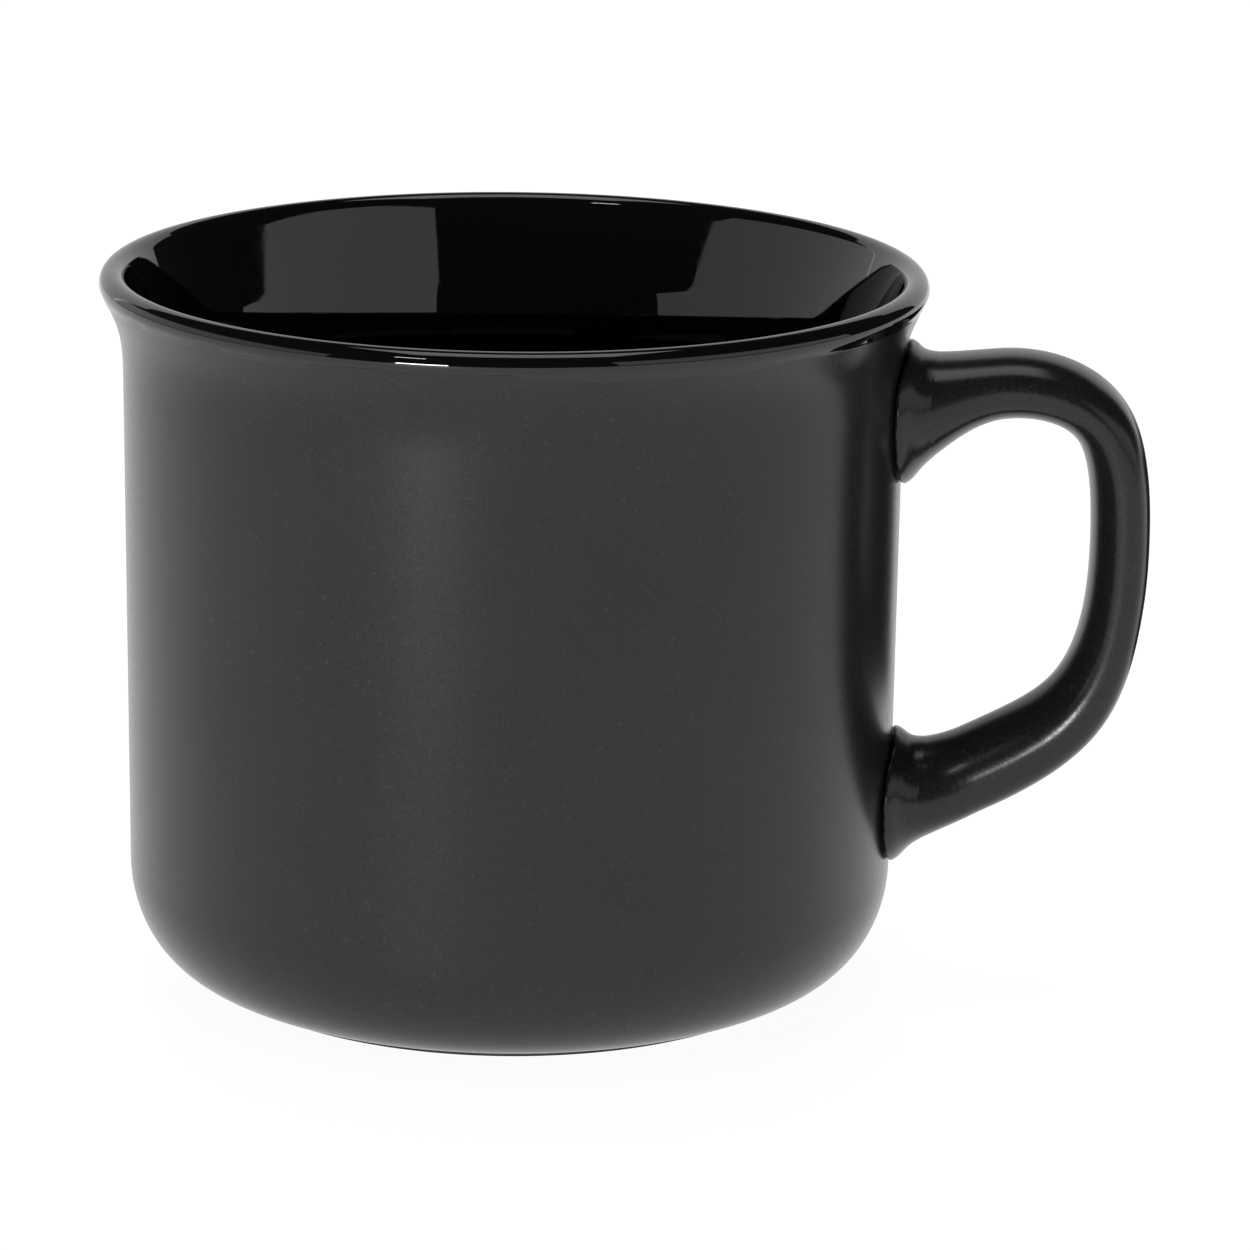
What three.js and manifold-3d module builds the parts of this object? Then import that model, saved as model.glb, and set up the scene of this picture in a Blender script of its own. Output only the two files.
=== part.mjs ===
// A slip-cast stoneware mug: a straight cup with a flared lip, a cast D-shaped handle luted on
// with slip, a gloss glaze inside and over the lip, and a matte glaze outside.
// Millimetres, +Z up. The cup's axis is Z, the foot ring stands on Z = 0, the handle points along +X.
import * as THREE from "three";
import { mergeVertices } from "three/addons/utils/BufferGeometryUtils.js";
import Module from "manifold-3d";

// Cup, measured on the finished glazed surface
const cupHeight = 81;
const wallRadius = 43.6; // at the top of the straight wall
const wallTaper = 0.25; // how much narrower the wall is just above the bottom corner
const rimOverhang = 2.55; // how far the lip stands out past the wall
const wallThickness = 5;
const lipThickness = 3;
const lipLean = THREE.MathUtils.degToRad(26); // how far the lip's outside leans out from upright
const flareHeight = 12; // from the straight wall to the lip's top
const innerLean = THREE.MathUtils.degToRad(20); // the inside opens out as a plain cone
const innerBend = 4.2; // each way from where the cone would meet the straight inside wall
const floorHeight = 6; // inside floor above the table
const innerCornerRadius = 9;
const outerCornerHeight = 13;
const cornerPull = 0.55; // 0.55 makes the bottom corner a quarter ellipse, more makes it fuller

// Foot
const footOuterRadius = 33.8;
const footLandWidth = 2.8;
const footRise = 0.9; // where the glaze stops above the table
const footSide = 0.9; // how far the glaze starts outside the foot ring's edge
const recessDepth = 0.8; // glazed underside above the table
const recessSlope = 1.2;

// Glaze
const glazeThickness = 0.4;
const glazeLineDrop = 2.7; // the gloss glaze's lower edge below the lip's top
const layerGap = 0.15; // between concentric layers that share their facets
const cutGap = 0.3; // between pieces that are cut to fit each other

// Handle, measured on its glazed surface
const handleReach = 24.5; // wall to the centre line of the grip
const gripThickness = 6.6;
const gripWidth = 13;

// Each foot's centre above the table, its size on the wall and how far along the handle its
// flare runs. The arm next to it is thicker than the grip by swell, in full up to swellFull
// along the handle and fading out by swellEnd.
const upperFoot = {
  height: 66.3, length: 15.6, width: 17, flare: 11.5, swell: 0.9, swellFull: 8, swellEnd: 26,
};
const lowerFoot = {
  height: 21.6, length: 12.6, width: 16.5, flare: 10, swell: 2.4, swellFull: 10, swellEnd: 36,
};

const sectionPower = 2.25; // 2 is an ellipse, more is squarer
const slipThickness = 1.3; // how far the slip bead stands off the wall
const slipMargin = 0.9; // how far it squeezes out past the handle's foot

// The handle's centre line, as shares of the reach and of the distance between the feet
const handleRoute = [
  [0.26, 1.043],
  [0.5, 1.067],
  [0.735, 1.045],
  [0.925, 0.953],
  [1, 0.71],
  [0.968, 0.453],
  [0.815, 0.245],
  [0.5, 0.112],
  [0.22, 0.038],
];

// Facets
const turnSegments = 40;
const handleSteps = 28;
const handleSides = 12;

const wasm = await Module();
wasm.setup();

const point = (r, z) => new THREE.Vector2(r, z);

function cubic(from, fromPull, toPull, to, steps) {
  return new THREE.CubicBezierCurve(from, fromPull, toPull, to).getPoints(steps);
}

// Points of an arc about a centre, from one angle to another.
function arc(centre, radius, startAngle, endAngle, steps) {
  const clockwise = endAngle < startAngle;
  const curve = new THREE.EllipseCurve(
    centre.x, centre.y, radius, radius, startAngle, endAngle, clockwise,
  );
  return curve.getPoints(steps);
}

// Joins stretches of line and drops points that fall on each other.
function joined(...stretches) {
  const all = stretches.flat();
  return all.filter((p, i) => i === 0 || p.distanceTo(all[i - 1]) > 1e-4);
}

// The lip is an arc between two faces that both lean out.
const lipRadius = lipThickness / 2;
const lipCentre = point(wallRadius + rimOverhang - lipRadius, cupHeight - lipRadius);
const upAlong = (lean) => point(Math.sin(lean), Math.cos(lean));
const outFrom = (lean) => point(Math.cos(lean), -Math.sin(lean));

// The outside surface, from the foot to the top of the lip.
function outsideLine() {
  const start = point(footOuterRadius + footSide, footRise);
  const cornerTop = point(wallRadius - wallTaper, outerCornerHeight);
  const wallTop = point(wallRadius, cupHeight - flareHeight);
  const lipEdge = lipCentre.clone().addScaledVector(outFrom(lipLean), lipRadius);
  const corner = cubic(
    start,
    point(start.x + (cornerTop.x - start.x) * cornerPull, start.y + 0.4),
    point(cornerTop.x, cornerTop.y - (cornerTop.y - start.y) * cornerPull),
    cornerTop,
    6,
  );
  const flare = cubic(
    wallTop,
    point(wallTop.x, wallTop.y + flareHeight * 0.42),
    lipEdge.clone().addScaledVector(upAlong(lipLean), -flareHeight * 0.32),
    lipEdge,
    5,
  );
  const lip = arc(lipCentre, lipRadius, -lipLean, Math.PI / 2, 4);
  return joined(corner, flare, lip);
}

// The inside surface, from the top of the lip to the middle of the floor.
function insideLine() {
  const innerRadius = wallRadius - wallThickness;
  const lip = arc(lipCentre, lipRadius, Math.PI / 2, Math.PI - innerLean, 4);
  const lipEdge = lipCentre.clone().addScaledVector(outFrom(innerLean), -lipRadius);
  const meeting = point(innerRadius, lipEdge.y - (lipEdge.x - innerRadius) / Math.tan(innerLean));
  const bend = cubic(
    meeting.clone().addScaledVector(upAlong(innerLean), innerBend),
    meeting.clone().addScaledVector(upAlong(innerLean), innerBend * 0.45),
    point(meeting.x, meeting.y - innerBend * 0.45),
    point(meeting.x, meeting.y - innerBend),
    4,
  );
  const cornerCentre = point(innerRadius - innerCornerRadius, floorHeight + innerCornerRadius);
  const corner = arc(cornerCentre, innerCornerRadius, 0, -Math.PI / 2, 5);
  return joined(lip, bend, corner, [point(0, floorHeight)]);
}

// A line moved to its left by a distance; a point on the axis stays on it.
function shifted(line, distance) {
  return line.map((p, i) => {
    const before = line[Math.max(i - 1, 0)];
    const after = line[Math.min(i + 1, line.length - 1)];
    const way = after.clone().sub(before).normalize();
    const moved = point(p.x - way.y * distance, p.y + way.x * distance);
    if (p.x < 1e-6) moved.x = 0;
    return moved;
  });
}

// The stretch of a rising line between two heights.
function between(line, low, high) {
  const at = (height) => {
    const i = line.findIndex((p) => p.y > height);
    return line[i - 1].clone().lerp(line[i], (height - line[i - 1].y) / (line[i].y - line[i - 1].y));
  };
  const start = line[0].y >= low ? line[0] : at(low);
  const inner = line.filter((p) => p.y > Math.max(low, line[0].y) && p.y < high);
  return joined([start], inner, [at(high)]);
}

// A body of revolution about Z; the profile's heights are Y until it is stood up.
function turned(profile) {
  const geometry = new THREE.LatheGeometry(profile, turnSegments);
  geometry.rotateX(Math.PI / 2);
  return geometry;
}

function toSolid(geometry) {
  const bare = geometry.clone();
  bare.deleteAttribute("normal");
  bare.deleteAttribute("uv");
  const merged = mergeVertices(bare, 1e-4);
  const mesh = new wasm.Mesh({
    numProp: 3,
    vertProperties: merged.attributes.position.array,
    triVerts: new Uint32Array(merged.index.array),
  });
  return new wasm.Manifold(mesh);
}

function toGeometry(solid) {
  const mesh = solid.getMesh();
  const geometry = new THREE.BufferGeometry();
  const positions = new Float32Array(mesh.vertProperties);
  geometry.setAttribute("position", new THREE.BufferAttribute(positions, 3));
  geometry.setIndex(new THREE.BufferAttribute(new Uint32Array(mesh.triVerts), 1));
  geometry.computeVertexNormals();
  return geometry;
}

// The handle's centre line starts and ends a little inside the wall, where it is trimmed.
const footSpan = upperFoot.height - lowerFoot.height;
const rootDepth = 3;
const routePoint = (out, height) => new THREE.Vector3(wallRadius + out, 0, height);
const handleCurve = new THREE.CatmullRomCurve3(
  [
    routePoint(-rootDepth, upperFoot.height - 0.4),
    routePoint(0, upperFoot.height),
    ...handleRoute.map(([out, up]) => routePoint(out * handleReach, lowerFoot.height + up * footSpan)),
    routePoint(0, lowerFoot.height),
    routePoint(-rootDepth, lowerFoot.height - 0.6),
  ],
  false,
  "centripetal",
);

// How much a foot adds to the handle's thickness at a distance along it.
function footThickness(foot, distance) {
  const along = Math.max(0, distance);
  const swell = foot.swell * (1 - THREE.MathUtils.smoothstep(along, foot.swellFull, foot.swellEnd));
  const flare = foot.length - gripThickness - foot.swell;
  return swell + flare * Math.max(0, 1 - along / foot.flare) ** 2;
}

// The same for its width.
function footWidth(foot, distance) {
  const along = Math.max(0, distance);
  return (foot.width - gripWidth) * Math.max(0, 1 - along / foot.flare) ** 2;
}

const signedPower = (value, power) => Math.sign(value) * Math.abs(value) ** power;

// A closed bar along the handle's centre line, its section grown on every side by an amount.
// It is a cylinder whose rings are moved on to the line and stretched to the section.
function handleBar(grow) {
  const bar = new THREE.CylinderGeometry(1, 1, 1, handleSides, handleSteps);
  const position = bar.attributes.position;
  const length = handleCurve.getLength();
  const side = new THREE.Vector3(0, 1, 0);
  for (let i = 0; i < position.count; i += 1) {
    const share = THREE.MathUtils.clamp(0.5 - position.getY(i), 0, 1);
    const centre = handleCurve.getPointAt(share);
    const normal = new THREE.Vector3().crossVectors(side, handleCurve.getTangentAt(share));
    const fromUpper = share * length - rootDepth;
    const fromLower = (1 - share) * length - rootDepth;
    const feetThick = footThickness(upperFoot, fromUpper) + footThickness(lowerFoot, fromLower);
    const feetWide = footWidth(upperFoot, fromUpper) + footWidth(lowerFoot, fromLower);
    const thick = (gripThickness + feetThick) / 2;
    const wide = (gripWidth + feetWide) / 2;
    const across = signedPower(position.getX(i), 2 / sectionPower) * (thick + grow);
    const along = signedPower(position.getZ(i), 2 / sectionPower) * (wide + grow);
    const placed = centre.addScaledVector(normal, across).addScaledVector(side, along);
    position.setXYZ(i, placed.x, placed.y, placed.z);
  }
  return toSolid(bar);
}

const outside = outsideLine();
const inside = insideLine();
const glazeLine = cupHeight - glazeLineDrop;
const clayDepth = glazeThickness + layerGap;

// The space inside the cup's outside surface, grown by an amount.
function cupSpace(grow) {
  const face = shifted(outside, -grow);
  const top = face[face.length - 1];
  return toSolid(turned([point(0, face[0].y), ...face, point(0, top.y)]));
}

function cupBody() {
  const landInner = footOuterRadius - footLandWidth;
  const recess = recessDepth + clayDepth;
  const foot = [
    point(0, recess),
    point(landInner - recessSlope, recess),
    point(landInner, 0),
    point(footOuterRadius, 0),
    point(footOuterRadius + 0.25, footRise * 0.5),
  ];
  const skin = shifted(joined(outside, inside), clayDepth);
  return turned([...foot, ...skin]);
}

function baseRecessGlaze() {
  const edge = footOuterRadius - footLandWidth - recessSlope - cutGap;
  return turned([
    point(0, recessDepth),
    point(edge - glazeThickness, recessDepth),
    point(edge, recessDepth + glazeThickness),
    point(0, recessDepth + glazeThickness),
  ]);
}

// The gloss glaze lines the cup, runs over the lip and stops in a line outside.
function glossLinerGlaze() {
  const face = joined(between(outside, glazeLine, cupHeight - 1e-3), inside);
  const back = shifted(face, glazeThickness);
  return turned([...back.reverse(), ...face]);
}

// The matte glaze coats the outside below that line, with openings round the slip joints.
function matteCupGlaze(openings) {
  const face = between(outside, 0, glazeLine - cutGap);
  const back = shifted(face, glazeThickness);
  const loop = [...face, ...back.reverse()];
  loop.push(loop[0].clone());
  return toGeometry(toSolid(turned(loop)).subtract(openings));
}

const slipOuter = cupSpace(slipThickness);
const handleClear = cupSpace(slipThickness + cutGap);
const slipInner = cupSpace(cutGap - clayDepth);
const beads = handleBar(slipMargin).intersect(slipOuter).subtract(slipInner).decompose();
beads.sort((a, b) => b.boundingBox().max[2] - a.boundingBox().max[2]);
const [upperBead, lowerBead] = beads;

const clay = new THREE.MeshStandardMaterial({ color: 0xb7ad9f, roughness: 0.85, metalness: 0 });
const slip = new THREE.MeshStandardMaterial({ color: 0x383533, roughness: 0.6, metalness: 0 });
const matte = new THREE.MeshStandardMaterial({ color: 0x3d3a38, roughness: 0.5, metalness: 0 });
const gloss = new THREE.MeshStandardMaterial({ color: 0x0b0a0a, roughness: 0.06, metalness: 0 });

const mug = new THREE.Group();

function add(name, geometry, material) {
  const mesh = new THREE.Mesh(geometry, material);
  mesh.name = name;
  mug.add(mesh);
}

add("cup_body", cupBody(), clay);
add("handle", toGeometry(handleBar(-clayDepth).subtract(handleClear)), clay);
add("upper_slip_joint", toGeometry(upperBead), slip);
add("lower_slip_joint", toGeometry(lowerBead), slip);
add("gloss_liner_glaze", glossLinerGlaze(), gloss);
add("matte_cup_glaze", matteCupGlaze(handleBar(slipMargin + cutGap)), matte);
const sheath = handleBar(0).subtract(handleBar(-glazeThickness)).subtract(handleClear);
add("matte_handle_glaze", toGeometry(sheath), matte);
add("base_recess_glaze", baseRecessGlaze(), matte);

export default mug;
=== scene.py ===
import math

import bmesh
import bpy
import numpy as np
from mathutils import Matrix, Vector


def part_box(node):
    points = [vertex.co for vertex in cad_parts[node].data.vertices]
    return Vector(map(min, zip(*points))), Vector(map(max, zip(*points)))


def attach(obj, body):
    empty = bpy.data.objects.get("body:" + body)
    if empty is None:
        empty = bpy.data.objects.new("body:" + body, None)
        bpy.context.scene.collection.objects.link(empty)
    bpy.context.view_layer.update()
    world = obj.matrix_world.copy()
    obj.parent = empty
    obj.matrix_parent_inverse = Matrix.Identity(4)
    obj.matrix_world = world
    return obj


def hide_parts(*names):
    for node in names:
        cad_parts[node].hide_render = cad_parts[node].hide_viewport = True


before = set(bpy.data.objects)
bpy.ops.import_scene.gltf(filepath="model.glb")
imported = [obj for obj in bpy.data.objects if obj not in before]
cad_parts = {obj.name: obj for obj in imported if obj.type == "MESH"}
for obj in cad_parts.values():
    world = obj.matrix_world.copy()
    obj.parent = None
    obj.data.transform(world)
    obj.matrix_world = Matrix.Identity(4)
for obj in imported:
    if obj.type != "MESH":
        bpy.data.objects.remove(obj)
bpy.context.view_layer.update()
print("frame loaded:", len(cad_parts), "nodes")

mm = 0.001
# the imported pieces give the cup's height, the lip's radius and the handle's far end
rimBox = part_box("gloss_liner_glaze")
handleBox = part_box("matte_handle_glaze")
cupHeight = rimBox[1].z
rimRadius = rimBox[1].y
handleEnd = handleBox[1].x

view = {
    "distance": 598.5 * mm,    # from the cup's axis
    "elevation": 15.27,        # degrees above the table
    "turn": 4.81,              # degrees round from the handle's side view, towards the handle
    "roll": 0.82,              # degrees
    "lens": 152.0,
    "sensor": 36,
    "nearest": 0.01,
    "farthest": 50,
    "aimRight": 12.8 * mm,     # the point that the camera looks at, right of the cup's axis
    "aimHeight": 39.7 * mm,
    "middleHeight": 40 * mm,   # the point on the axis that the distance is measured to
}


def makeCamera(v):
    # stands at the distance, elevation and turn, looks at its aim and is rolled about its line of sight
    elevation, turn, roll = (math.radians(v[k]) for k in ("elevation", "turn", "roll"))
    out = Vector((math.sin(turn), -math.cos(turn), 0))
    right = Vector((math.cos(turn), math.sin(turn), 0))
    middle = Vector((0, 0, v["middleHeight"]))
    eye = middle + v["distance"] * (out * math.cos(elevation) + Vector((0, 0, math.sin(elevation))))
    forward = (right * v["aimRight"] + Vector((0, 0, v["aimHeight"])) - eye).normalized()
    level = forward.cross(Vector((0, 0, 1))).normalized()
    upright = level.cross(forward)
    across = level * math.cos(roll) + upright * math.sin(roll)
    up = upright * math.cos(roll) - level * math.sin(roll)
    data = bpy.data.cameras.new("camera")
    data.lens = v["lens"]
    data.sensor_width = v["sensor"]
    data.clip_start = v["nearest"]
    data.clip_end = v["farthest"]
    camera = bpy.data.objects.new("camera", data)
    turned = Matrix((across, up, -forward)).transposed().to_4x4()
    camera.matrix_world = Matrix.Translation(eye) @ turned
    bpy.context.scene.collection.objects.link(camera)
    bpy.context.scene.camera = camera


makeCamera(view)


def nodeTree(name):
    material = bpy.data.materials.new(name)
    material.use_nodes = True
    tree = material.node_tree
    return material, tree, tree.nodes["Principled BSDF"]


def addSheet(name, corners, material):
    # a flat sheet that belongs to the studio and not to the mug
    mesh = bpy.data.meshes.new(name)
    mesh.from_pydata(corners, [], [(0, 1, 2, 3)])
    mesh.materials.append(material)
    sheet = bpy.data.objects.new(name, mesh)
    bpy.context.scene.collection.objects.link(sheet)
    return sheet


studioFloor = {"reach": 6.0, "shade": 0.25, "glow": 0.93, "roughness": 0.6, "shine": 0.2}


def makeFloor(f):
    # a pale sheet that glows, as a product table lit from below does
    material, tree, surface = nodeTree("paleFloor")
    surface.inputs["Base Color"].default_value = (f["shade"], f["shade"], f["shade"], 1)
    surface.inputs["Roughness"].default_value = f["roughness"]
    surface.inputs["Specular IOR Level"].default_value = f["shine"]
    surface.inputs["Emission Color"].default_value = (1, 1, 1, 1)
    surface.inputs["Emission Strength"].default_value = f["glow"]
    reach = f["reach"]
    corners = [(-reach, -reach, 0), (reach, -reach, 0), (reach, reach, 0), (-reach, reach, 0)]
    addSheet("floor", corners, material)


makeFloor(studioFloor)

# Azimuths run round the mug from the camera's side in degrees, + to the right. Each softbox stands
# upright, square to its azimuth, and is moved aside along its own plane.
softboxes = {
    "rightSoftbox": {"azimuth": 35, "distance": 0.8, "aside": 0.90, "height": 0.34,
                     "width": 2.02, "tall": 0.42, "power": 2.1},
    "leftSoftbox": {"azimuth": -90, "distance": 0.7, "aside": -0.12, "height": 0.26,
                    "width": 1.4, "tall": 0.32, "power": 0.95},
}
# the other lights look at the mug
lamps = {
    "overhead": {"azimuth": 180, "distance": 0.25, "height": 1.6,
                 "width": 0.9, "tall": 0.9, "power": 5.0},
    "key": {"azimuth": -34, "distance": 0.66, "height": 0.78,
            "width": 0.12, "tall": 0.03, "power": 0.4},
    "lowStrip": {"azimuth": -24, "distance": 0.9, "height": 0.13,
                 "width": 0.22, "tall": 0.08, "power": 3.0},
}


def roundTheMug(azimuth, distance, height):
    # a point that far from the cup's axis, at that height
    turn = math.radians(view["turn"] + azimuth)
    return Vector((math.sin(turn) * distance, -math.cos(turn) * distance, height))


def makeLight(name, light, spot, aim):
    data = bpy.data.lights.new(name, "AREA")
    data.shape = "RECTANGLE"
    data.size = light["width"]
    data.size_y = light["tall"]
    data.energy = light["power"]
    lamp = bpy.data.objects.new(name, data)
    turned = (aim - spot).to_track_quat("-Z", "Y").to_matrix().to_4x4()
    lamp.matrix_world = Matrix.Translation(spot) @ turned
    bpy.context.scene.collection.objects.link(lamp)


for name, box in softboxes.items():
    aside = roundTheMug(box["azimuth"] + 90, box["aside"], box["height"])
    makeLight(name, box, aside + roundTheMug(box["azimuth"], box["distance"], 0), aside)
for name, lamp in lamps.items():
    spot = roundTheMug(lamp["azimuth"], lamp["distance"], lamp["height"])
    makeLight(name, lamp, spot, Vector((0, 0, view["middleHeight"])))


def onlySeenBy(piece, *rays):
    for ray in ("camera", "diffuse", "glossy", "transmission", "volume_scatter", "shadow"):
        setattr(piece, "visible_" + ray, ray in rays)


def glowMaterial(name, brightness):
    material = bpy.data.materials.new(name)
    material.use_nodes = True
    tree = material.node_tree
    tree.nodes.remove(tree.nodes["Principled BSDF"])
    glow = tree.nodes.new("ShaderNodeEmission")
    glow.inputs["Color"].default_value = (brightness, brightness, brightness, 1)
    tree.links.new(glow.outputs["Emission"], tree.nodes["Material Output"].inputs["Surface"])
    return material


paleDome = {"radius": 7.0, "brightness": 0.98, "segments": 48}


def makeBackdrop(d):
    # a pale dome that only the camera sees
    mesh = bpy.data.meshes.new("backdrop")
    dome = bmesh.new()
    segments = d["segments"]
    bmesh.ops.create_uvsphere(dome, u_segments=segments, v_segments=segments // 2, radius=d["radius"])
    dome.to_mesh(mesh)
    dome.free()
    mesh.materials.append(glowMaterial("backdrop", d["brightness"]))
    backdrop = bpy.data.objects.new("backdrop", mesh)
    bpy.context.scene.collection.objects.link(backdrop)
    onlySeenBy(backdrop, "camera")


makeBackdrop(paleDome)

# What the glazes reflect behind the mug: a pale wall, and a low black card behind the handle that only
# glossy rays see, painted shade that darkens the glazes' reflection behind the handle.
# Each runs between two azimuths at two distances.
backWall = {"azimuths": (140, 222), "distances": (1.6, 1.6), "heights": (0, 0.9), "brightness": 0.75}
reflectedShadeCard = {"azimuths": (112, 138), "distances": (0.15, 0.14), "heights": (0, 0.055),
             "brightness": 0.005}


def makeReflected(name, r):
    (first, last), (near, far), (low, high) = r["azimuths"], r["distances"], r["heights"]
    ends = [(first, near, low), (last, far, low), (last, far, high), (first, near, high)]
    corners = [roundTheMug(*end) for end in ends]
    onlySeenBy(addSheet(name, corners, glowMaterial(name, r["brightness"])), "glossy")


makeReflected("backWall", backWall)
# the black card puts painted shade into the glazes' reflections and casts no shadow
makeReflected("reflectedShadeCard", reflectedShadeCard)

roomLight = {"colour": (0.9, 0.92, 0.95), "strength": 0.03}


def makeRoom(room):
    world = bpy.data.worlds.new("studio")
    world.use_nodes = True
    air = world.node_tree.nodes["Background"]
    air.inputs["Color"].default_value = (*room["colour"], 1)
    air.inputs["Strength"].default_value = room["strength"]
    bpy.context.scene.world = world
    bpy.context.scene.view_settings.view_transform = "Standard"


makeRoom(roomLight)
print("camera, floor and lights made")

cup = {
    "rimOverhang": 2.55 * mm,      # lip past the straight wall
    "wallTaper": 0.25 * mm,        # how much narrower the wall is at its foot
    "wallThickness": 5 * mm,
    "lipThickness": 3 * mm,
    "lipLean": 26,                 # degrees from upright, on the outside
    "flareHeight": 12 * mm,
    "flarePull": (0.42, 0.32),     # how far the flare keeps to the wall and to the lip, of its height
    "innerLean": 20,               # degrees: the inside opens out as a plain cone
    "innerBend": 4.2 * mm,         # each way from where the cone would meet the straight wall
    "bendPull": 0.45,
    "floorHeight": 6 * mm,
    "innerCorner": 9 * mm,
    "cornerHeight": 13 * mm,
    "cornerPull": 0.55,
    "cornerRise": 0.4 * mm,        # how much the corner climbs as it leaves the foot
    "footRadius": 33.8 * mm,
    "footLand": 2.8 * mm,
    "footRise": 0.9 * mm,
    "footSide": 0.9 * mm,
    "landRound": 0.3 * mm,
    "recessDepth": 0.8 * mm,
    "recessSlope": 1.2 * mm,
    "recessGap": 0.2 * mm,         # bare clay between the slope and the glaze inside the foot ring
    "wipeIn": 0.62,                # how far in and down the foot's side the matte glaze reaches, as
    "wipeDown": 0.85,              # shares of the side's width and height
    "glaze": 0.4 * mm,
    "clayDepth": 0.55 * mm,        # how far the clay's skin lies under the glaze's face
    "glazeLineDrop": 2.7 * mm,     # from the lip's top down to where the gloss ends outside
    "lap": 0.5 * mm,               # how far the matte runs up under the gloss
    "turns": 288,                  # facets round the cup
}
wallRadius = rimRadius - cup["rimOverhang"]
lipRadius = cup["lipThickness"] / 2
lipCentre = np.array([rimRadius - lipRadius, cupHeight - lipRadius])
weldDistance = 1e-7    # points closer than this are one point
sharpAngle = math.radians(50)


def cubic(points, steps):
    # a cubic Bezier curve: the four points weighted by (1-t)^3, 3t(1-t)^2, 3t^2(1-t) and t^3
    p = np.array(points, float)
    t = np.linspace(0, 1, steps + 1)[:, None]
    return (1 - t) ** 3 * p[0] + 3 * t * (1 - t) ** 2 * p[1] + 3 * t ** 2 * (1 - t) * p[2] + t ** 3 * p[3]


def arc(centre, radius, start, end, steps):
    # a circle's arc: centre plus radius times (cos a, sin a), a running from start to end
    a = np.linspace(start, end, steps + 1)
    return np.array(centre) + radius * np.stack([np.cos(a), np.sin(a)], 1)


def straight(start, end, steps):
    # evenly spaced points from start to end
    return np.linspace(np.array(start, float), np.array(end, float), steps + 1)


def joined(*stretches):
    # the stretches end to end, less any point that repeats the one before it
    line = np.concatenate(stretches)
    keep = np.r_[True, np.linalg.norm(np.diff(line, axis=0), axis=1) > weldDistance]
    return line[keep]


def shifted(line, distance):
    # each point moves to the left of the line's direction there; a point on the axis stays on it
    way = np.gradient(line, axis=0)
    way /= np.linalg.norm(way, axis=1)[:, None]
    moved = line + distance * np.stack([-way[:, 1], way[:, 0]], 1)
    moved[line[:, 0] < 1e-9, 0] = 0
    return moved


def leaning(degrees):
    # the lean in radians, the direction up along a face that leans out, and the one square out from it
    lean = math.radians(degrees)
    return lean, np.array([math.sin(lean), math.cos(lean)]), np.array([math.cos(lean), -math.sin(lean)])


def outsideLine(c):
    # radius and height from the foot to the lip's top: a curved corner, a straight wall, a flare
    # that is one cubic, and a circle's arc over the lip
    start = np.array([c["footRadius"] + c["footSide"], c["footRise"]])
    top = np.array([wallRadius - c["wallTaper"], c["cornerHeight"]])
    pull = c["cornerPull"]
    corner = cubic([start, (start[0] + (top[0] - start[0]) * pull, start[1] + c["cornerRise"]),
                    (top[0], top[1] - (top[1] - start[1]) * pull), top], 32)
    wallTop = np.array([wallRadius, cupHeight - c["flareHeight"]])
    lean, up, out = leaning(c["lipLean"])
    edge = lipCentre + out * lipRadius
    low, high = c["flarePull"]
    flare = cubic([wallTop, wallTop + (0, low * c["flareHeight"]),
                   edge - up * high * c["flareHeight"], edge], 28)
    lip = arc(lipCentre, lipRadius, -lean, math.pi / 2, 14)
    return joined(corner, straight(top, wallTop, 30), flare, lip)


def insideLine(c):
    # radius and height from the lip's top down to the floor's middle: an arc, a plain cone, a cubic
    # bend into a straight wall, a circle's quarter and a flat floor
    inner = wallRadius - c["wallThickness"]
    lean, up, out = leaning(c["innerLean"])
    lip = arc(lipCentre, lipRadius, math.pi / 2, math.pi - lean, 14)
    edge = lipCentre - out * lipRadius
    meeting = np.array([inner, edge[1] - (edge[0] - inner) / math.tan(lean)])
    bendTop, bendEnd = meeting + up * c["innerBend"], meeting - (0, c["innerBend"])
    pull = c["innerBend"] * c["bendPull"]
    bend = cubic([bendTop, meeting + up * pull, meeting - (0, pull), bendEnd], 24)
    turn = np.array([inner - c["innerCorner"], c["floorHeight"] + c["innerCorner"]])
    corner = arc(turn, c["innerCorner"], 0, -math.pi / 2, 20)
    low = corner[0]
    bottom = straight(corner[-1], (0, c["floorHeight"]), 10)
    return joined(lip, straight(edge, bendTop, 12), bend, straight(bendEnd, low, 24), corner, bottom)


outside = outsideLine(cup)
inside = insideLine(cup)


def pieceFrom(name, vertices, faces, material):
    mesh = bpy.data.meshes.new(name)
    mesh.from_pydata(vertices.reshape(-1, 3).tolist(), [], faces)
    mesh.materials.append(material)
    fixed = bmesh.new()
    fixed.from_mesh(mesh)
    bmesh.ops.remove_doubles(fixed, verts=fixed.verts, dist=weldDistance)
    bmesh.ops.recalc_face_normals(fixed, faces=fixed.faces)
    fixed.to_mesh(mesh)
    fixed.free()
    mesh.polygons.foreach_set("use_smooth", [True] * len(mesh.polygons))
    mesh.set_sharp_from_angle(angle=sharpAngle)
    piece = bpy.data.objects.new(name, mesh)
    bpy.context.scene.collection.objects.link(piece)
    return piece


def gridFaces(rows, columns, closedRows):
    # the four corners of every cell of a grid whose columns run round and meet
    i = np.arange(rows if closedRows else rows - 1)[:, None]
    j = np.arange(columns)[None, :]
    nextRow, nextColumn = (i + 1) % rows, (j + 1) % columns
    cells = np.stack([i * columns + j, i * columns + nextColumn,
                      nextRow * columns + nextColumn, nextRow * columns + j], -1)
    return cells.reshape(-1, 4).tolist()


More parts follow.
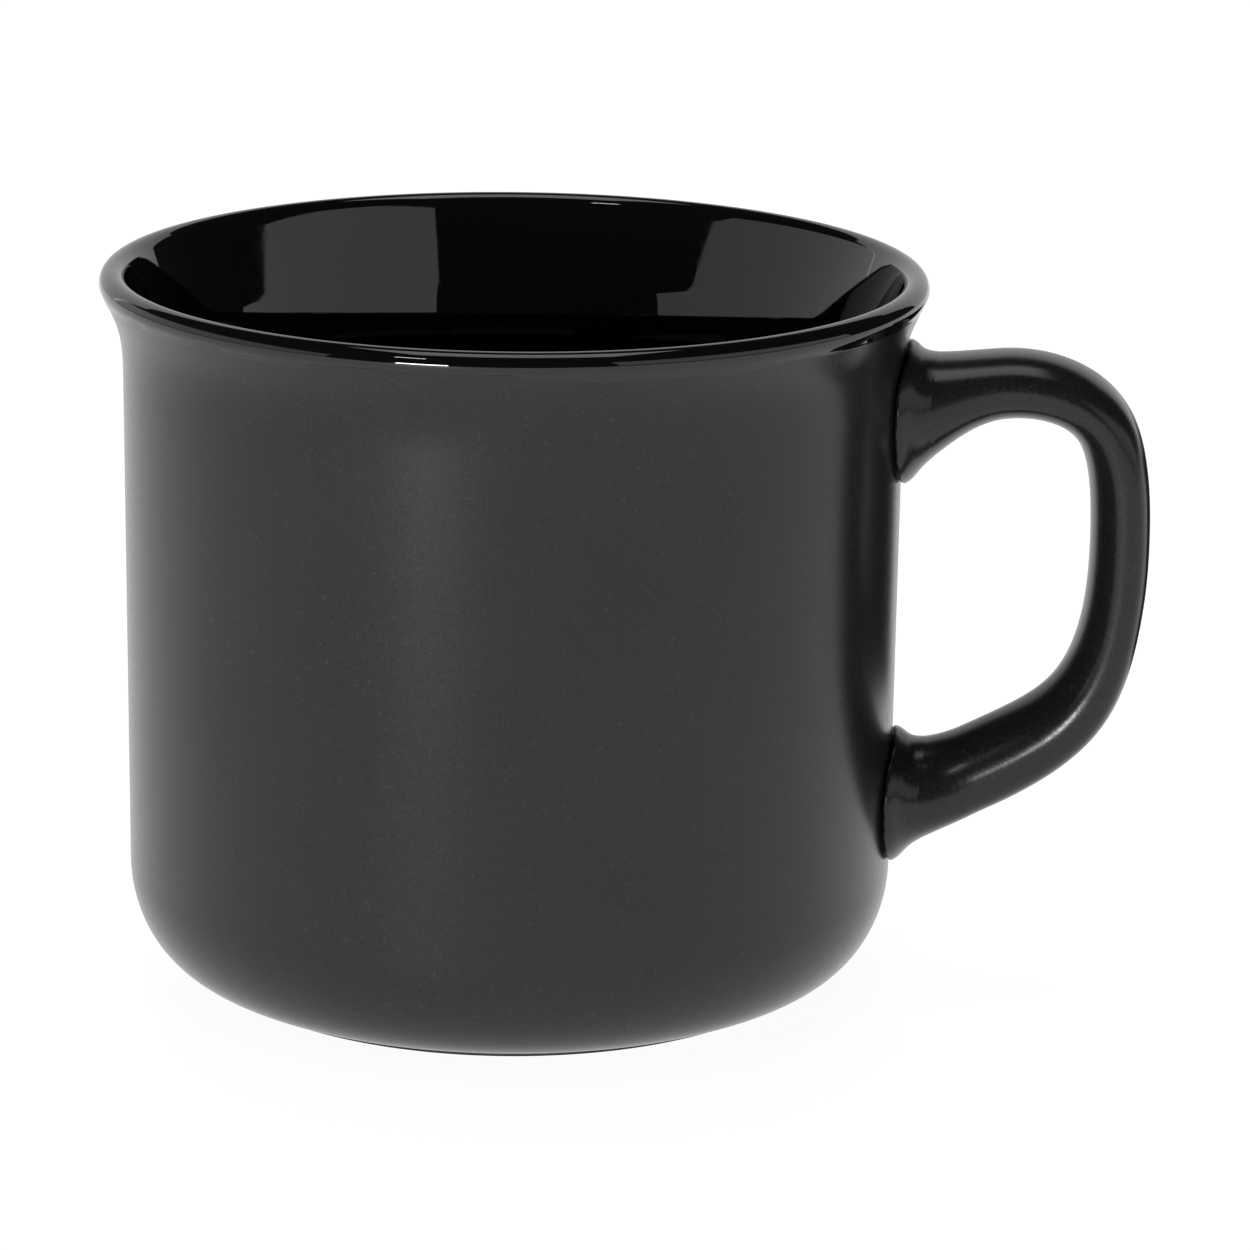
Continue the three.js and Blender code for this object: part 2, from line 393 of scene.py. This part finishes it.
def turnedPiece(name, line, material, closed, wobble=None):
    # a body of revolution: (r cos a, r sin a, z) for each point of the line and each angle a
    angle = np.linspace(0, 2 * math.pi, cup["turns"], endpoint=False)[None, :]
    r = line[:, :1] * np.ones_like(angle)
    z = line[:, 1:] * np.ones_like(angle)
    if wobble is not None:
        r, z = wobble(r, z, angle)
    vertices = np.stack([r * np.cos(angle), r * np.sin(angle), z], -1)
    faces = gridFaces(len(line), cup["turns"], closed)
    return pieceFrom(name, vertices, faces, material)


def place(piece, slotName, *nodes):
    # every piece is fixed to the mug's one body
    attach(piece, "root")
    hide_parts(*nodes)


def addNoise(tree, coordinates, scale, detail, roughness=0.5):
    noise = tree.nodes.new("ShaderNodeTexNoise")
    noise.inputs["Scale"].default_value = scale
    noise.inputs["Detail"].default_value = detail
    noise.inputs["Roughness"].default_value = roughness
    tree.links.new(coordinates, noise.inputs["Vector"])
    return noise.outputs["Fac"]


def addRange(tree, value, low, high, newLow, newHigh):
    spread = tree.nodes.new("ShaderNodeMapRange")
    for socket, number in zip(("From Min", "From Max", "To Min", "To Max"), (low, high, newLow, newHigh)):
        spread.inputs[socket].default_value = number
    tree.links.new(value, spread.inputs["Value"])
    return spread.outputs["Result"]


def addBlend(tree, share, first, second):
    mix = tree.nodes.new("ShaderNodeMix")
    mix.data_type = "RGBA"
    tree.links.new(share, mix.inputs["Factor"])
    for socket, value in ((mix.inputs["A"], first), (mix.inputs["B"], second)):
        if isinstance(value, tuple):
            socket.default_value = (*value, 1)
        else:
            tree.links.new(value, socket)
    return mix.outputs["Result"]


def addBump(tree, height, strength, distance, under=None):
    bump = tree.nodes.new("ShaderNodeBump")
    bump.inputs["Strength"].default_value = strength
    bump.inputs["Distance"].default_value = distance
    tree.links.new(height, bump.inputs["Height"])
    if under is not None:
        tree.links.new(under, bump.inputs["Normal"])
    return bump.outputs["Normal"]


matteFinish = {
    "dark": (0.0075, 0.0068, 0.0062),
    "light": (0.0105, 0.0095, 0.0088),
    "speck": (0.028, 0.026, 0.024),
    "roughLow": 0.19,
    "roughHigh": 0.27,
    "refraction": 1.42,
    "cloudScale": 60,      # slow changes of tone
    "grainScale": 2600,    # the glaze's fine tooth
    "speckScale": 1500,
    "grainHeight": 0.02 * mm,
    "cloudHeight": 0.1 * mm,
}


def matteGlazeMaterial(f):
    material, tree, surface = nodeTree("matteGlaze")
    here = tree.nodes.new("ShaderNodeTexCoord").outputs["Object"]
    cloud = addNoise(tree, here, f["cloudScale"], 4)
    grain = addNoise(tree, here, f["grainScale"], 3, 0.6)
    specks = addNoise(tree, here, f["speckScale"], 1)
    tone = addBlend(tree, addRange(tree, cloud, 0.35, 0.65, 0, 1), f["dark"], f["light"])
    tone = addBlend(tree, addRange(tree, grain, 0.3, 0.7, 0, 0.35), tone, f["speck"])
    tone = addBlend(tree, addRange(tree, specks, 0.68, 0.74, 0, 0.7), tone, f["speck"])
    tree.links.new(tone, surface.inputs["Base Color"])
    rough = addRange(tree, grain, 0.3, 0.7, f["roughLow"], f["roughHigh"])
    tree.links.new(rough, surface.inputs["Roughness"])
    fine = addBump(tree, grain, 0.35, f["grainHeight"])
    tree.links.new(addBump(tree, cloud, 0.3, f["cloudHeight"], fine), surface.inputs["Normal"])
    surface.inputs["IOR"].default_value = f["refraction"]
    return material


glossFinish = {
    "colour": (0.0022, 0.0021, 0.0021),
    "thinColour": (0.0035, 0.0032, 0.0031),
    "roughness": 0.02,
    "pitRoughness": 0.03,    # added where there are pits
    "refraction": 1.54,
    "swellScale": 45,
    "pitScale": 700,
    "swellHeight": 0.15 * mm,
}


def glossGlazeMaterial(f):
    material, tree, surface = nodeTree("glossGlaze")
    here = tree.nodes.new("ShaderNodeTexCoord").outputs["Object"]
    swell = addNoise(tree, here, f["swellScale"], 2)
    pits = addNoise(tree, here, f["pitScale"], 1)
    tone = addBlend(tree, addRange(tree, swell, 0.3, 0.7, 0, 1), f["colour"], f["thinColour"])
    tree.links.new(tone, surface.inputs["Base Color"])
    rough = addRange(tree, pits, 0.3, 0.7, f["roughness"], f["roughness"] + f["pitRoughness"])
    tree.links.new(rough, surface.inputs["Roughness"])
    tree.links.new(addBump(tree, swell, 0.25, f["swellHeight"]), surface.inputs["Normal"])
    surface.inputs["IOR"].default_value = f["refraction"]
    return material


clayFinish = {
    "base": (0.50, 0.45, 0.38),
    "grog": (0.30, 0.25, 0.20),
    "roughness": 0.85,
    "grainScale": 1800,
    "patchScale": 140,
    "grainHeight": 0.06 * mm,
}


def clayMaterial(f):
    material, tree, surface = nodeTree("firedClay")
    here = tree.nodes.new("ShaderNodeTexCoord").outputs["Object"]
    grain = addNoise(tree, here, f["grainScale"], 4, 0.7)
    patch = addNoise(tree, here, f["patchScale"], 3)
    tone = addBlend(tree, addRange(tree, grain, 0.45, 0.75, 0, 0.8), f["base"], f["grog"])
    tone = addBlend(tree, addRange(tree, patch, 0.4, 0.7, 0, 0.35), tone, f["grog"])
    tree.links.new(tone, surface.inputs["Base Color"])
    surface.inputs["Roughness"].default_value = f["roughness"]
    tree.links.new(addBump(tree, grain, 0.5, f["grainHeight"]), surface.inputs["Normal"])
    return material


matteGlaze = matteGlazeMaterial(matteFinish)
glossGlaze = glossGlazeMaterial(glossFinish)
firedClay = clayMaterial(clayFinish)
print("finishes made")


def clayCup(c):
    # turned from a line that runs out under the foot, up inside the glaze, over the lip and down
    # to the floor's middle
    landInner, landOuter, edge = c["footRadius"] - c["footLand"], c["footRadius"], c["landRound"]
    recess = c["recessDepth"] + c["clayDepth"]
    slopeTop = (landInner - c["recessSlope"], recess)
    slopeEnd = (landInner - edge * 0.5, edge * 0.6)
    foot = joined(
        straight((0, recess), slopeTop, 6),
        straight(slopeTop, slopeEnd, 4),
        cubic([slopeEnd, (landInner - edge * 0.2, edge * 0.1), (landInner, 0), (landInner + edge, 0)], 5),
        straight((landInner + edge, 0), (landOuter - edge, 0), 6),
        cubic([(landOuter - edge, 0), (landOuter, 0),
               (landOuter + 0.1 * mm, 0.1 * mm), (landOuter + 0.2 * mm, 0.45 * mm)], 5),
    )
    skin = shifted(joined(outside, inside), c["clayDepth"])
    return turnedPiece("clayCup", joined(foot, skin), firedClay, False)


place(clayCup(cup), "fired_clay", "cup_body")

glazeLine = cupHeight - cup["glazeLineDrop"]


def between(line, low, high):
    # the stretch of a rising line between two heights, with its ends cut exactly there
    radius = np.interp([low, high], line[:, 1], line[:, 0])
    inner = line[(line[:, 1] > low) & (line[:, 1] < high)]
    return np.concatenate([[[radius[0], low]], inner, [[radius[1], high]]])


def matteCup(c):
    # turned from a closed line: up the foot's side and the wall to the gloss glaze, and back under it
    start = outside[0]
    low = start - (c["footSide"] * c["wipeIn"], c["footRise"] * c["wipeDown"])
    wipe = cubic([low, low + (0.03 * mm, c["footRise"] * 0.4),
                  start - (c["footSide"] * 0.4, 0.1 * mm), start], 8)
    face = joined(wipe, between(outside, start[1], glazeLine + c["lap"]))
    back = shifted(face, c["glaze"])
    return turnedPiece("matteCupGlaze", np.concatenate([face, back[::-1]]), matteGlaze, True)


place(matteCup(cup), "matte_glaze", "matte_cup_glaze")

glossEdge = {
    "proud": 0.04 * mm,         # how far the gloss stands over the matte at its edge
    "wave": 0.24 * mm,          # how unevenly its edge runs
    "waveReach": 1.2 * mm,      # how far above the edge that is felt
    # each wave as (times round the cup, phase, share)
    "waves": [(3, 1.1, 0.5), (7, 0.4, 0.3), (17, 2.0, 0.2), (41, 0.9, 0.12)],
    # the rounded edge in mm from the face's first point, from the back to the face
    "rounding": [(-0.08, -0.17), (-0.02, -0.10)],
}


def glossLiner(c, g):
    # turned from a line that runs from the floor's middle up behind the glaze, round its lower edge
    # outside and back over the lip to the floor's middle
    low = between(outside, glazeLine, cupHeight - weldDistance)
    face = joined(low, inside)
    # proud of the matte glaze outside, tapering to nothing over the lip
    outer = np.clip((face[:, 0] - lipCentre[0] - 0.2 * lipRadius) / lipRadius, 0, 1)
    outer[len(low):] = 0
    bulge = shifted(face, -g["proud"])
    face = face + (bulge - face) * outer[:, None]
    rounding = face[0] + np.array(g["rounding"]) * mm
    back = shifted(joined(low, inside), c["glaze"])
    line = np.concatenate([back[::-1], rounding, face])

    def wobble(r, z, angle):
        # the edge rises and falls by a sum of sines round the cup, fading out with height
        share = np.clip(1 - (z - glazeLine) / g["waveReach"], 0, 1) * (r > wallRadius)
        wave = sum(size * np.sin(angle * times + phase) for times, phase, size in g["waves"])
        return r, z + share * wave * g["wave"]

    return turnedPiece("glossLinerGlaze", line, glossGlaze, False, wobble)


place(glossLiner(cup, glossEdge), "gloss_glaze", "gloss_liner_glaze")


def recessGlaze(c):
    # a flat disc with a rounded edge, turned from a line that starts and ends on the axis
    edge = c["footRadius"] - c["footLand"] - c["recessSlope"] - c["recessGap"]
    low, high = c["recessDepth"], c["recessDepth"] + c["glaze"]
    line = joined(straight((0, low), (edge - c["glaze"], low), 10),
                  arc((edge - c["glaze"], high), c["glaze"], -math.pi / 2, 0, 6),
                  straight((edge, high), (0, high), 10))
    return turnedPiece("baseRecessGlaze", line, matteGlaze, False)


place(recessGlaze(cup), "matte_glaze", "base_recess_glaze")
print("cup made")

grip = {
    "thickness": 6.6 * mm,
    "width": 13 * mm,
    "power": 2.25,             # 2 is an ellipse, more is squarer
    "outerLean": 0.25,         # how far out the widest part sits, of half the thickness
    "leanPower": 1.5,
    "leanGrows": (0.22, 0.42),     # where along the handle the lean begins, and where it is full
    "leanFades": (0.88, 0.98),     # where it begins to fade, and where it is gone
    "rootDepth": 3 * mm,       # how far the centre line runs into the cup
    "glazeDepth": 1.3 * mm,    # how far the glaze runs into the wall
    "coreDepth": 1.0 * mm,     # and the clay
    "rows": 220,
    "sides": 72,
    # the centre line, as shares of the reach and of the distance between the feet
    "route": [(0.26, 1.043), (0.5, 1.067), (0.735, 1.045), (0.925, 0.953), (1, 0.71),
              (0.968, 0.453), (0.815, 0.245), (0.5, 0.112), (0.22, 0.038)],
}
# A foot's length is upright, and its width across. The flare is short, and the swell reaches further.
upperFoot = {"height": 66.3 * mm, "rootDrop": 0.4 * mm, "length": 14.2 * mm, "width": 17 * mm,
             "flare": 11.5 * mm, "swell": 0.9 * mm, "swellFull": 8 * mm, "swellEnd": 26 * mm}
lowerFoot = {"height": 21.6 * mm, "rootDrop": 0.6 * mm, "length": 12.6 * mm, "width": 16.5 * mm,
             "flare": 10 * mm, "swell": 2.4 * mm, "swellFull": 10 * mm, "swellEnd": 36 * mm}
handleReach = handleEnd - grip["thickness"] / 2 - wallRadius


def splineThrough(points, samples):
    # a natural cubic spline whose parameter grows by the square root of each chord's length,
    # resampled at even lengths along the curve
    p = np.array(points, float)
    chord = np.r_[0, np.cumsum(np.linalg.norm(np.diff(p, axis=0), axis=1) ** 0.5)]
    n, h = len(p), np.diff(chord)
    a, b = np.eye(n), np.zeros_like(p)
    for k in range(1, n - 1):
        a[k, k - 1:k + 2] = h[k - 1], 2 * (h[k - 1] + h[k]), h[k]
        b[k] = 6 * ((p[k + 1] - p[k]) / h[k] - (p[k] - p[k - 1]) / h[k - 1])
    m = np.linalg.solve(a, b)
    t = np.linspace(0, chord[-1], 4000)
    k = np.clip(np.searchsorted(chord, t, side="right") - 1, 0, n - 2)
    u, v, w = (t - chord[k])[:, None], (chord[k + 1] - t)[:, None], h[k][:, None]
    fine = (m[k] * v ** 3 + m[k + 1] * u ** 3) / (6 * w)
    fine += (p[k] / w - m[k] * w / 6) * v + (p[k + 1] / w - m[k + 1] * w / 6) * u
    length = np.r_[0, np.cumsum(np.linalg.norm(np.diff(fine, axis=0), axis=1))]
    even = np.linspace(0, length[-1], samples)
    return np.stack([np.interp(even, length, fine[:, i]) for i in range(2)], 1), even


def handleLine(g):
    # a spline from inside the wall at the upper foot, along the route, to inside the wall at the lower
    high, low, root = upperFoot["height"], lowerFoot["height"], wallRadius - g["rootDepth"]
    points = [(root, high - upperFoot["rootDrop"]), (wallRadius, high)]
    points += [(wallRadius + out * handleReach, low + up * (high - low)) for out, up in g["route"]]
    points += [(wallRadius, low), (root, low - lowerFoot["rootDrop"])]
    return splineThrough(points, 2000)


linePoints, lineLengths = handleLine(grip)
lineWays = np.gradient(linePoints, axis=0)
lineWays /= np.linalg.norm(lineWays, axis=1)[:, None]
lineLength = lineLengths[-1]


def smoothStep(value, low, high):
    # 3t^2 - 2t^3, with t running from 0 at low to 1 at high
    t = np.clip((value - low) / (high - low), 0, 1)
    return t * t * (3 - 2 * t)


def footThickness(foot, distance):
    # what a foot adds to the thickness: a smooth step down for the swell, and a square for the flare
    along = np.maximum(0, distance)
    swell = foot["swell"] * (1 - smoothStep(along, foot["swellFull"], foot["swellEnd"]))
    flare = foot["length"] - grip["thickness"] - foot["swell"]
    return swell + flare * np.maximum(0, 1 - along / foot["flare"]) ** 2


def footWidth(foot, distance):
    # what a foot adds to the width: the square of what is left of the flare
    along = np.maximum(0, distance)
    return (foot["width"] - grip["width"]) * np.maximum(0, 1 - along / foot["flare"]) ** 2


def signedPower(value, power):
    return np.sign(value) * np.abs(value) ** power


def handleSurface(distance, around, grow):
    # the centre line's point at a distance along it, plus its normal times the half thickness
    # times (cos(around)^(2/power) + lean * |sin(around)|^leanPower), plus Y times the half width
    # times sin(around)^(2/power)
    centre = [np.interp(distance, lineLengths, linePoints[:, i]) for i in range(2)]
    way = [np.interp(distance, lineLengths, lineWays[:, i]) for i in range(2)]
    fromUpper = distance - grip["rootDepth"]
    fromLower = lineLength - distance - grip["rootDepth"]
    thick = grip["thickness"] + footThickness(upperFoot, fromUpper) + footThickness(lowerFoot, fromLower)
    wide = grip["width"] + footWidth(upperFoot, fromUpper) + footWidth(lowerFoot, fromLower)
    thick, wide = thick / 2, wide / 2
    lean = grip["outerLean"] * smoothStep(distance / lineLength, *grip["leanGrows"])
    lean = lean * (1 - smoothStep(distance / lineLength, *grip["leanFades"]))
    sides = np.abs(np.sin(around)) ** grip["leanPower"]
    across = (signedPower(np.cos(around), 2 / grip["power"]) + lean * sides) * (thick + grow)
    along = signedPower(np.sin(around), 2 / grip["power"]) * (wide + grow)
    return np.stack([centre[0] - way[1] * across, along + 0 * centre[0], centre[1] + way[0] * across], -1)


def anglesRound(sides):
    # evenly spaced angles once round the bar
    return np.linspace(0, 2 * math.pi, sides, endpoint=False)[None, :]


def handleSheath(g):
    # the handle's surface, and the same drawn in by the glaze's thickness, joined at both ends
    start = g["rootDepth"] - g["glazeDepth"]
    out = np.linspace(start, lineLength - start, g["rows"])[:, None]
    outer = handleSurface(out, anglesRound(g["sides"]), 0)
    inner = handleSurface(out[::-1], anglesRound(g["sides"]), -cup["glaze"])
    vertices = np.concatenate([outer, inner])
    return pieceFrom("matteHandleGlaze", vertices, gridFaces(2 * g["rows"], g["sides"], True), matteGlaze)


def handleCore(g):
    # the handle's surface drawn in under the glaze, closed at each end by a point in its middle
    start = g["rootDepth"] - g["coreDepth"]
    out = np.linspace(start, lineLength - start, g["rows"] // 2)[:, None]
    skin = handleSurface(out, anglesRound(g["sides"] // 2), -cup["clayDepth"])
    first = np.repeat(skin[:1].mean(1, keepdims=True), g["sides"] // 2, 1)
    last = np.repeat(skin[-1:].mean(1, keepdims=True), g["sides"] // 2, 1)
    vertices = np.concatenate([first, skin, last])
    return pieceFrom("clayHandle", vertices, gridFaces(len(vertices), g["sides"] // 2, False), firedClay)


place(handleSheath(grip), "matte_glaze", "matte_handle_glaze")
place(handleCore(grip), "fired_clay", "handle")

bead = {
    "sides": 240,
    "passes": 14,
    "correction": 0.8,    # how much of what is left each pass takes up
    # the bead's outline in mm as (height off the wall, how far out past the handle's foot)
    "outline": [(4.4, -0.6), (4.1, -0.06), (3.5, 0.02), (2.9, 0.08), (2.4, 0.19), (2.0, 0.36),
                (1.65, 0.60), (1.35, 0.85), (1.05, 1.06), (0.75, 1.19), (0.45, 1.22), (0.2, 1.14),
                (0.06, 0.93), (0.0, 0.6), (-0.2, 0.4), (-0.25, -1.0)],
    "seam": 0.16 * mm,    # how far the seam under the bead opens
    "seamBand": (-0.1 * mm, 0.5 * mm),    # the heights off the wall between which it opens
}


def slipBead(name, upper, b):
    # each outline point follows the handle's own section at its height off the cup's curved wall
    heights, margins = (np.array(b["outline"]) * mm).T
    heights, margins = heights[:, None], margins[:, None]
    turn = anglesRound(b["sides"])
    ragged = 0.5 + 0.5 * np.sin(turn * 9 + 0.7) * np.sin(turn * 23 + 1.9)
    low, high = b["seamBand"]
    lift = b["seam"] * (0.45 + 0.9 * ragged) * (heights < high) * (heights > low)
    # find the distance along the handle at which its surface stands that high off the wall
    distance = grip["rootDepth"] + heights + 0 * turn
    for _ in range(b["passes"]):
        surface = handleSurface(distance if upper else lineLength - distance, turn, margins)
        y, z = surface[..., 1], surface[..., 2]
        wall = np.sqrt(np.maximum(np.interp(z, outside[:, 1], outside[:, 0]) ** 2 - y ** 2, 0))
        tooFar = surface[..., 0] - wall - heights
        distance = np.clip(distance - b["correction"] * tooFar, 0, lineLength / 3)
    vertices = np.stack([wall + heights + lift, y, z], -1)
    return pieceFrom(name, vertices, gridFaces(len(heights), b["sides"], True), matteGlaze)


place(slipBead("upperSlipJoint", True, bead), "luting_slip", "upper_slip_joint")
place(slipBead("lowerSlipJoint", False, bead), "luting_slip", "lower_slip_joint")
print("handle made")
